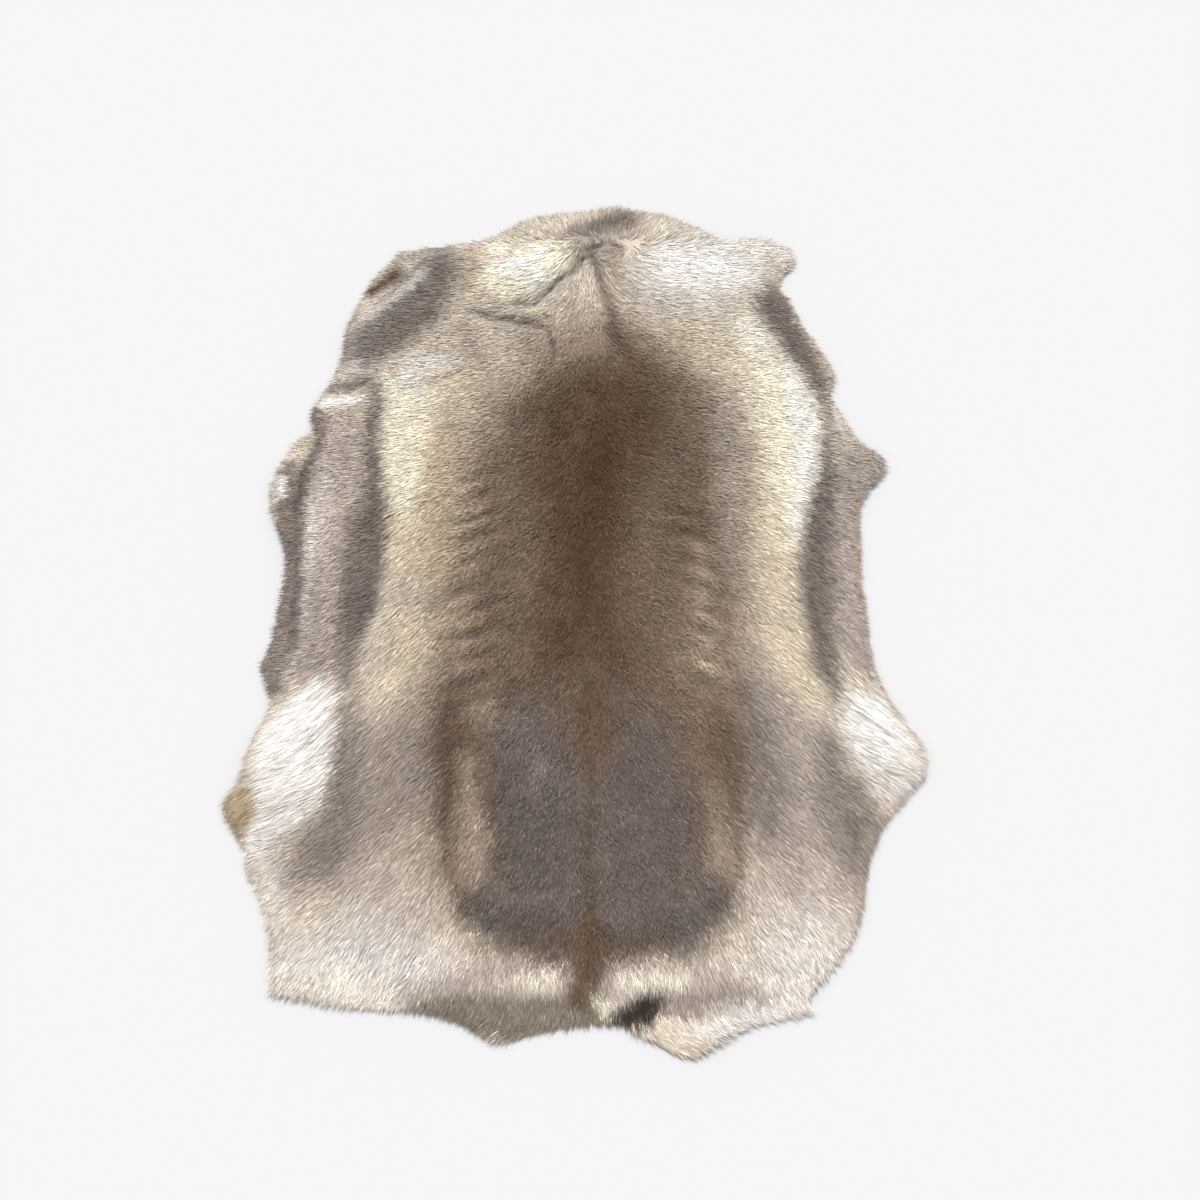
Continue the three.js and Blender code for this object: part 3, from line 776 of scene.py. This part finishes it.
felt, felt_shader = new_material("felted wool", {"Roughness": 0.95, "Specular IOR Level": 0.1})
dyed_and_shaded = new_node(felt, "Attribute", {})
dyed_and_shaded.attribute_name = "coat"
place = new_node(felt, "TexCoord", {})
tufts = new_node(felt, "TexNoise", {"Scale": 350.0, "Detail": 3.0})
tuft_shade = new_node(felt, "MapRange", {"To Min": 0.6, "To Max": 1.4})
shaded = new_node(felt, "VectorMath", {})
shaded.operation = "SCALE"
tuft_bump = new_node(felt, "Bump", {"Strength": 0.8, "Distance": 0.002})
join(
    felt,
    (place, "Object", tufts, "Vector"),
    (tufts, "Fac", tuft_shade, "Value"),
    (dyed_and_shaded, "Color", shaded, 0),
    (tuft_shade, "Result", shaded, "Scale"),
    (shaded, "Vector", felt_shader, "Base Color"),
    (tufts, "Fac", tuft_bump, "Height"),
    (tuft_bump, "Normal", felt_shader, "Normal"),
)
wool.data.materials.append(felt)

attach(wool, "root")
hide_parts("hide")

# ---- The hair ---------------------------------------------------------------------------
# Stiff hollow guard hairs in slim locks that rise from the skin and lie over towards
# belly and tail, thick as thatch. Each lock is one bent blade that ends in a point.

# Which way the hair lies, for places along the body: degrees from straight towards the
# tail, turned outwards, far from the spine, and how far from the spine it gets there.
# The two sides blend over SPINE_WIDTH.
LIE_PLACE = [-0.60, -0.50, -0.40, -0.30, -0.20, -0.10, 0.0, 0.10, 0.30, 0.65]
LIE_OUTWARDS = [50, 70, 66, 58, 50, 48, 54, 66, 80, 88]
LIE_REACH = [0.50, 0.42, 0.25, 0.17, 0.11, 0.09, 0.08, 0.07, 0.06, 0.05]
SPINE_WIDTH = 0.025

# The whorl on the nape: its heart, how wide that is, between which y the lie turns into
# its rays, and how strongly and how often the rays wave.
WHORL = (0.015, 0.47)
WHORL_HEART = 0.025
WHORL_TOP, WHORL_END = 0.568, 0.548
RAY_WAVE, RAY_WAVES = 0.3, 5

# Mottles of the lie in degrees, the one of the cowlick with its stroke, and the mottle
# that moves the border of the whorl.
LIE_MOTTLE, FINE_LIE_MOTTLE = (9, 0.035, 11), (5, 0.012, 12)
COWLICK_MOTTLE = (120, 0.016, 15)
COWLICK = ([(-40, 560, 6), (15, 545, 22), (60, 555, 10)], 30)
PARTING_WOBBLE = (0.012, 0.025, 14)

# Places where it lies another way: degrees, and the rest as for markings.
COMBED = {
    "left hip": (32, 80, 0.9, [(-295, -190, 20), (-275, -300, 20)]),
    "right hip": (38, 80, 0.9, [(300, -180, 20), (285, -300, 20)]),
    "left haunch": (63, 50, 1.0, [(-385, -200, 30), (-410, -360, 50)]),
    "right haunch": (56, 50, 1.0, [(390, -200, 30), (415, -300, 40)]),
    "left thigh": (58, 80, 0.9, [(-350, -390, 30), (-370, -430, 30)]),
    "left ribs": (42, 80, 0.8, [(-245, 80, 30), (-245, -120, 30)]),
    "left belly": (84, 70, 1.0, [(-410, 220, 50), (-410, -100, 50)]),
    "right belly": (78, 70, 1.0, [(420, 200, 40), (400, -60, 30)]),
    "rump": (3, 80, 1.0, [(-100, -550, 30), (100, -550, 30)]),
    "under the tail": (50, 30, 1.0, [(-160, -612, 20), (20, -612, 10)]),
    "hind flap": (62, 30, 1.0, [(90, -628, 25), (260, -600, 20)]),
}

# Hair lengths in metres, and the rest as for markings.
HAIR_LENGTH = 0.016
LENGTHS = {
    "back": (0.011, 100, 1.0, [(0, 360, 100), (10, 100, 200), (0, -150, 210), (0, -420, 160)]),
    "neck": (0.024, 80, 1.0, [(-200, 520, 60), (220, 540, 60)]),
    "left haunch": (0.045, 50, 1.0, [(-352, -185, 30), (-410, -320, 50)]),
    "right haunch": (0.040, 50, 1.0, [(374, -190, 30), (415, -295, 40)]),
    "rump fringe": (0.030, 30, 1.0, [(-120, -540, 16), (160, -540, 16)]),
    "under the tail": (0.018, 15, 1.0, [(-160, -614, 16), (20, -614, 10)]),
    "hind flap": (0.018, 20, 1.0, [(90, -628, 22), (260, -602, 14)]),
    "bare patch": (0.007, 12, 1.0, [(-466, -335, 18), (-452, -362, 14)]),
}

# The locks of the back lie less evenly than those of the flanks, and its tufts turn each
# its own way: all in degrees.
PLUSH = ([(0, 360, 100), (10, 100, 200), (0, -150, 210), (5, -420, 160)], 100)
RUFFLE = 6
PLUSH_RUFFLE = 11
PLUSH_TURN = 25

# Tufts, and how far of the way to its tuft's own tip a lock is drawn.
TUFT_PITCH = 0.004
TUFT_NET = 600
TUFT_SEED = 21
TUFT_PULL = 0.14

# The locks: how many to a square metre, how wide, how far roots stray on their net in
# shares of its pitch, how much lengths differ, and how much a crease takes off.
LOCKS_PER_M2 = 400000
FIELD_SEED = 31
LOCK_WIDTH = 0.00115
WIDTHS = (0.6, 1.3)
STRAY = 0.6
LENGTH_SPREAD = (0.75, 1.2)
CREASE_SHORTER = 0.65

# How far roots keep inside the margin and tips may pass it, how that differs from lock to
# lock, and the least share of a lock that is left when it is cut short.
ROOT_BACK = 0.009
TIP_BEYOND = 0.0065
BEYOND_SPREAD = (-1.3, 1.0)
SHORTEST = 0.2

# Where along a lock its bend is, how high that rises in the coat and how much higher the
# tip, and how far the blade rolls over, in radians.
BEND = 0.45
BEND_RISES = (0.64, 0.86)
TIP_RISES = (0.06, 0.20)
ROLL = 0.40

# The shade of a blade's root, two sides and tip, how much locks and tufts differ, how many
# locks are pale and how pale, and how far along a lock, and further with its tuft, the
# coat's colour is taken. The dark root is partly the hair's dark base and partly painted
# shade deep in the coat; the pale tip is the hair's own.
SHADES = (0.62, 0.90, 0.90, 1.20)
OWN_SHADE, TUFT_SHADE = 0.21, 0.07
PALE_TIPPED, PALE_SHADE = 0.09, 1.4
SEEN_AT = 0.7
BORDER_REACH = 0.007

# The two maps of the locks, one to bake into with a cell for each lock, and one for their
# strands, and where a blade's points lie in a cell.
BAKE_MAP = "OFBake"
BAKE_COLUMNS = 512
STRAND_MAP = "strands"
STRAND_CELLS = (101, 37)
LOCK_UV = np.array([[0.5, 0.05], [0.9, 0.45], [0.1, 0.45], [0.5, 0.95]])


def stroked(start, strokes, x, y):
    """The start value with each stroke's own value laid over it in turn, as a mean of
    the two weighted by the cover."""
    value = np.full(x.shape, start, float)
    for own, fade, strength, path in strokes.values():
        cover = strength * stroke_cover(x, y, path, fade)
        value = value * (1 - cover) + own * cover
    return value


def lie_of_hair(x, y):
    """The direction across the floor in which the hair lies at each place. The angle
    grows from none at the spine to LIE_OUTWARDS, as 1 less e to the power of minus
    the distance over LIE_REACH, and is then combed and ruffled, most of all in the
    cowlick. Beyond a wobbling border on the neck it turns into waving rays that
    leave the whorl on all sides."""
    reach = np.interp(y, LIE_PLACE, LIE_REACH)
    outwards = np.interp(y, LIE_PLACE, LIE_OUTWARDS) * (1 - np.exp(-np.abs(x) / reach))
    ruffle = mottle(x, y, *LIE_MOTTLE) + mottle(x, y, *FINE_LIE_MOTTLE)
    ruffle += mottle(x, y, *COWLICK_MOTTLE) * stroke_cover(x, y, *COWLICK)
    angle = np.radians(stroked(outwards, COMBED, x, y) + ruffle)
    lie_x, lie_y = np.sin(angle) * np.tanh(x / SPINE_WIDTH), -np.cos(angle)

    ray_x, ray_y = x - WHORL[0], y - WHORL[1]
    ray = np.hypot(ray_x, ray_y) + WHORL_HEART
    ray_x, ray_y = ray_x / ray + RAY_WAVE * np.sin(np.radians(RAY_WAVES * ruffle)), ray_y / ray
    parting = y + mottle(x, y, *PARTING_WOBBLE) - WHORL_END
    turn_in = np.clip(parting / (WHORL_TOP - WHORL_END), 0.0, 1.0)
    lie_x = lie_x * (1 - turn_in) + ray_x * turn_in
    lie_y = lie_y * (1 - turn_in) + ray_y * turn_in
    length = np.maximum(np.hypot(lie_x, lie_y), 1e-6)
    return lie_x / length, lie_y / length


def nearest_tuft(x, y):
    """The middle of the tuft that each place belongs to, and the tuft's own random
    number: one tuft stands at a random place in each square of a net, and the
    nearest of the nine round the place is taken."""
    rng = np.random.default_rng(TUFT_SEED)
    jitter = rng.uniform(0.0, 1.0, (TUFT_NET, TUFT_NET, 2))
    number = rng.uniform(-1, 1, (TUFT_NET, TUFT_NET))
    centre = TUFT_NET // 2
    column = np.floor(x / TUFT_PITCH).astype(int) + centre
    row = np.floor(y / TUFT_PITCH).astype(int) + centre
    nearest = np.full(x.shape, np.inf)
    middle_x, middle_y, own = x.copy(), y.copy(), np.zeros(x.shape)
    for step_x in (-1, 0, 1):
        for step_y in (-1, 0, 1):
            i, j = column + step_x, row + step_y
            tuft_x = (i - centre + jitter[i, j, 0]) * TUFT_PITCH
            tuft_y = (j - centre + jitter[i, j, 1]) * TUFT_PITCH
            far = np.hypot(x - tuft_x, y - tuft_y)
            closer = far < nearest
            nearest = np.where(closer, far, nearest)
            middle_x = np.where(closer, tuft_x, middle_x)
            middle_y = np.where(closer, tuft_y, middle_y)
            own = np.where(closer, number[i, j], own)
    return middle_x, middle_y, own


def hair_field(name, count, edges_x, edges_y, seed):
    """One field of hair with about count locks, over the part of the hide between the
    given x and y. Locks stand on a jittered net. From its root a lock runs along the
    lie of the hair, drawn towards its tuft's own tip, and is cut short where it
    would pass the margin. Its middle and its tip rise by their shares of the coat's
    depth there. Its colour is the coat's a little way along the lock, so that the
    markings' borders break up into locks and tufts."""
    rng = np.random.default_rng(seed)
    pitch = math.sqrt((edges_x[1] - edges_x[0]) * (edges_y[1] - edges_y[0]) / count)
    grid = np.meshgrid(np.arange(*edges_x, pitch), np.arange(*edges_y, pitch))
    x, y = (a.ravel() + rng.uniform(-STRAY, STRAY, a.size) * pitch for a in grid)
    grown = read_net(inset_net, x, y) > ROOT_BACK
    x, y = x[grown], y[grown]

    tuft_x, tuft_y, tuft_number = nearest_tuft(x, y)
    length = stroked(HAIR_LENGTH, LENGTHS, x, y) * rng.uniform(*LENGTH_SPREAD, len(x))
    length *= 1 - CREASE_SHORTER * deepest(x, y, CREASES)
    lie_x, lie_y = lie_of_hair(tuft_x, tuft_y)
    plush = stroke_cover(x, y, *PLUSH)
    ruffle = rng.normal(0, 1, len(x)) * (RUFFLE + PLUSH_RUFFLE * plush)
    ruffle = np.radians(ruffle + PLUSH_TURN * plush * tuft_number)
    lie_x, lie_y = (
        lie_x * np.cos(ruffle) - lie_y * np.sin(ruffle),
        lie_x * np.sin(ruffle) + lie_y * np.cos(ruffle),
    )
    run_x = lie_x * length + TUFT_PULL * (tuft_x - x)
    run_y = lie_y * length + TUFT_PULL * (tuft_y - y)

    root_inset = read_net(inset_net, x, y)
    tip_inset = read_net(inset_net, x + run_x, y + run_y)
    passed = np.maximum(root_inset - tip_inset, 1e-6)
    allowed = (root_inset + TIP_BEYOND * rng.uniform(*BEYOND_SPREAD, len(x))) / passed
    kept_share = np.where(tip_inset < TIP_BEYOND, np.clip(allowed, SHORTEST, 1.0), 1.0)
    run_x, run_y = run_x * kept_share, run_y * kept_share

    bend_rise = rng.uniform(*BEND_RISES, len(x))
    tip_rise = bend_rise + rng.uniform(*TIP_RISES, len(x))
    middle_x, middle_y = x + BEND * run_x, y + BEND * run_y
    tip_x, tip_y = x + run_x, y + run_y
    middle_z = on_leather(middle_x, middle_y) + bend_rise * coat_depth(middle_x, middle_y)
    tip_z = on_leather(tip_x, tip_y) + tip_rise * coat_depth(tip_x, tip_y)

    roll = rng.normal(0, ROLL, len(x))
    run = np.maximum(np.hypot(run_x, run_y), 1e-6)
    side = np.column_stack([-run_y / run * np.cos(roll), run_x / run * np.cos(roll), np.sin(roll)])
    half = 0.5 * LOCK_WIDTH * rng.uniform(*WIDTHS, len(x))[:, None]
    root = np.column_stack([x, y, on_leather(x, y)])
    middle = np.column_stack([middle_x, middle_y, middle_z])
    tip = np.column_stack([tip_x, tip_y, tip_z])
    points = np.stack([root, middle - half * side, middle + half * side, tip], axis=1).reshape(-1, 3)
    first = 4 * np.arange(len(x))[:, None]
    faces = (first[:, None, :] + np.array([[0, 1, 2], [2, 1, 3]])).reshape(-1, 3)
    field = mesh_object(name, points, faces)

    seen_x = x + SEEN_AT * run_x + BORDER_REACH * tuft_number * lie_x
    seen_y = y + SEEN_AT * run_y + BORDER_REACH * tuft_number * lie_y
    colour = coat_colour(seen_x, seen_y)
    own = np.exp(rng.normal(0, OWN_SHADE, len(x)) + TUFT_SHADE * tuft_number)
    own *= np.where(rng.uniform(0, 1, len(x)) < PALE_TIPPED, PALE_SHADE, 1.0)
    # Painted light and shade on each blade: coat_shade's crease and margin shade and swell and rib
    # highlights, times the blade's SHADES.
    middle_shade = coat_shade(middle_x, middle_y)
    shades = np.stack([middle_shade] * 3 + [coat_shade(tip_x, tip_y)], axis=1)
    shades = shades * own[:, None] * np.array(SHADES)
    dye_and_shade(field, (colour[:, None, :] * shades[:, :, None]).reshape(-1, 3))

    cell = np.arange(len(x))[:, None]
    bake_cell = np.column_stack([cell % BAKE_COLUMNS, cell // BAKE_COLUMNS])
    bake_rows = math.ceil(len(x) / BAKE_COLUMNS)
    bake_uv = (bake_cell[:, None, :] + LOCK_UV) / (BAKE_COLUMNS, bake_rows)
    strand_uv = (cell % STRAND_CELLS)[:, None, :] + LOCK_UV
    for map_name, uv in ((BAKE_MAP, bake_uv), (STRAND_MAP, strand_uv)):
        layer = field.data.uv_layers.new(name=map_name)
        layer.data.foreach_set("uv", uv.reshape(-1, 2)[faces.ravel()].ravel())

    field.data.materials.append(hair)
    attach(field, "root")
    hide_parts("hide")


hair, hair_shader = new_material("guard hair", {"Specular IOR Level": 0.08})
dyed_and_shaded = new_node(hair, "Attribute", {})
dyed_and_shaded.attribute_name = "coat"
along_strand = new_node(hair, "UVMap", {})
along_strand.uv_map = STRAND_MAP
stretched = new_node(hair, "Mapping", {"Scale": (9.0, 0.8, 1.0)})
strands = new_node(hair, "TexNoise", {"Scale": 1.0, "Detail": 2.0})
strand_shade = new_node(
    hair, "MapRange", {"From Min": 0.3, "From Max": 0.7, "To Min": 0.75, "To Max": 1.2}
)
shaded = new_node(hair, "VectorMath", {})
shaded.operation = "SCALE"
strand_bump = new_node(hair, "Bump", {"Strength": 0.5, "Distance": 0.0003})
gloss_range = new_node(hair, "MapRange", {"To Min": 0.45, "To Max": 0.75})
join(
    hair,
    (along_strand, "UV", stretched, "Vector"),
    (stretched, "Vector", strands, "Vector"),
    (strands, "Fac", strand_shade, "Value"),
    (dyed_and_shaded, "Color", shaded, 0),
    (strand_shade, "Result", shaded, "Scale"),
    (shaded, "Vector", hair_shader, "Base Color"),
    (strands, "Fac", strand_bump, "Height"),
    (strand_bump, "Normal", hair_shader, "Normal"),
    (strands, "Fac", gloss_range, "Value"),
    (gloss_range, "Result", hair_shader, "Roughness"),
)

# The fields, and the y at which each ends and the next begins. The locks of two that
# meet lie over each other, so no seam shows.
FIELD_NAMES = ["hair_rump", "hair_loins", "hair_ribs", "hair_shoulders", "hair_neck"]
FIELD_EDGES = [low_corner[1], -0.39, -0.16, 0.07, 0.32, high_corner[1]]
across = (low_corner[0], high_corner[0])
for number, name in enumerate(FIELD_NAMES):
    along = FIELD_EDGES[number:number + 2]
    locks = LOCKS_PER_M2 * (across[1] - across[0]) * (along[1] - along[0])
    hair_field(name, locks, across, along, FIELD_SEED + number)
